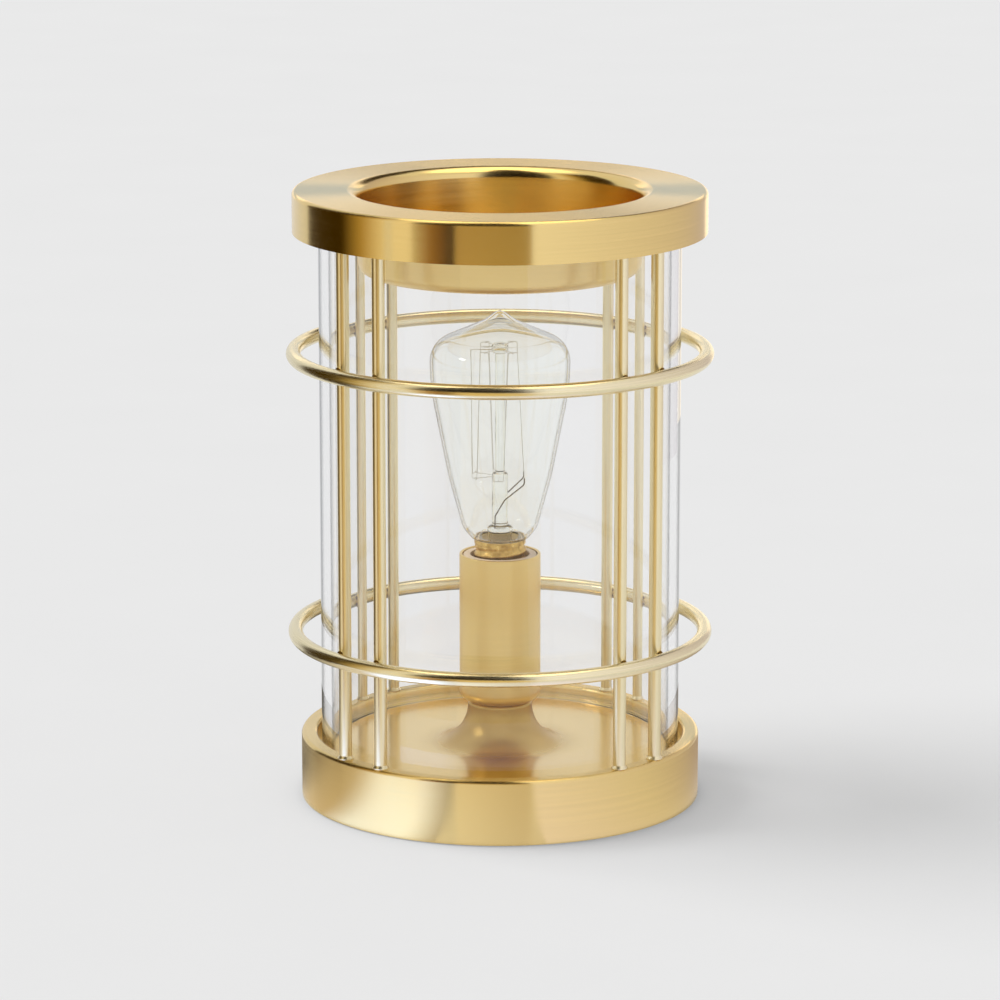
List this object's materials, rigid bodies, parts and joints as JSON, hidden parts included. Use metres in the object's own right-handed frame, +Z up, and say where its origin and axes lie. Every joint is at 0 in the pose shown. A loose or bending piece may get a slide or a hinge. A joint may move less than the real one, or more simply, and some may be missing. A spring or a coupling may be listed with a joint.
{
  "type": "scent warmer",
  "caption": "Table-top scent warmer: a small lamp in a glass chimney inside a brass wire cage warms a lift-off dish of wax from below.",
  "frame": {"origin": "centre of the underside, on the table, on the axis of the round base", "axes": "+Z up along the axis of the round body; -Y is the front that the picture shows; +Y is the rear, with the cord inlet; +X is to the right in the picture"},
  "size_m": [0.1116, 0.1116, 0.1618],
  "materials": {
    "dish_brass": "satin, brushed round",
    "wire_brass": "satin",
    "contact_brass": "bright",
    "lamp_cap_brass": "bright, slightly tarnished",
    "bare_steel": "zinc plated",
    "clear_glass": "clear, polished",
    "lamp_glass": "clear, thin",
    "cream_ceramic": "unglazed, matt",
    "black_rubber": "matt",
    "grey_plastic": "matt",
    "white_sleeve": "satin",
    "black_sleeve": "satin",
    "black_insulator": "glossy, vitrified",
    "solder": "soft solder, satin",
    "filament_wire": "dull",
    "support_wire": "drawn wire"
  },
  "bodies": {
    "base": {"base_pan": "dish_brass", "cord_grommet": "black_rubber", "bottom_cover": "bare_steel", "cover_posts": "bare_steel", "cover_screws": "bare_steel", "foot_pads": "black_rubber", "cage_rod_1": "wire_brass", "cage_rod_2": "wire_brass", "cage_rod_3": "wire_brass", "cage_rod_4": "wire_brass", "cage_rod_5": "wire_brass", "cage_rod_6": "wire_brass", "cage_rod_7": "wire_brass", "cage_rod_8": "wire_brass", "lower_hoop": "wire_brass", "upper_hoop": "wire_brass", "cage_top_ring": "wire_brass", "threaded_nipple": "bare_steel", "lock_washer": "bare_steel", "lock_nut": "bare_steel", "socket_cover": "dish_brass", "socket_bracket": "bare_steel", "bracket_screws": "bare_steel", "socket_body": "cream_ceramic", "screw_shell": "contact_brass", "centre_contact": "contact_brass", "contact_rivet": "contact_brass", "terminal_screws": "bare_steel", "lead_neutral": "white_sleeve", "lead_line": "black_sleeve", "crimp_caps": "grey_plastic"},
    "glass": {"glass_chimney": "clear_glass"},
    "dish": {"warming_dish": "dish_brass"},
    "lamp_contact": {"cap_contact": "solder"},
    "lamp": {"cap_insulator": "black_insulator", "bulb_cap": "lamp_cap_brass", "bulb_envelope": "lamp_glass", "bulb_stem": "lamp_glass", "bulb_filament": "filament_wire", "filament_supports": "support_wire", "bulb_leads": "support_wire"}
  },
  "joints": [
    {"name": "glass_lift", "type": "slide", "parent": "base", "child": "glass", "axis": [0, 0, 1], "range_m": [0, 0.15]},
    {"name": "dish_lift", "type": "slide", "parent": "glass", "child": "dish", "axis": [0, 0, 1], "range_m": [0, 0.06]},
    {"name": "bulb_rise", "type": "slide", "parent": "base", "child": "lamp_contact", "axis": [0, 0, 1], "range_m": [0, 0.0085]},
    {"name": "bulb_turn", "type": "hinge", "parent": "lamp_contact", "child": "lamp", "pos_m": [0, 0, 0.05], "axis": [0, 0, 1], "range_deg": [0, 1080]}
  ],
  "couplings": [
    {"joint": "bulb_rise", "follows": "bulb_turn", "m_per_rad": 0.00044914}
  ]
}
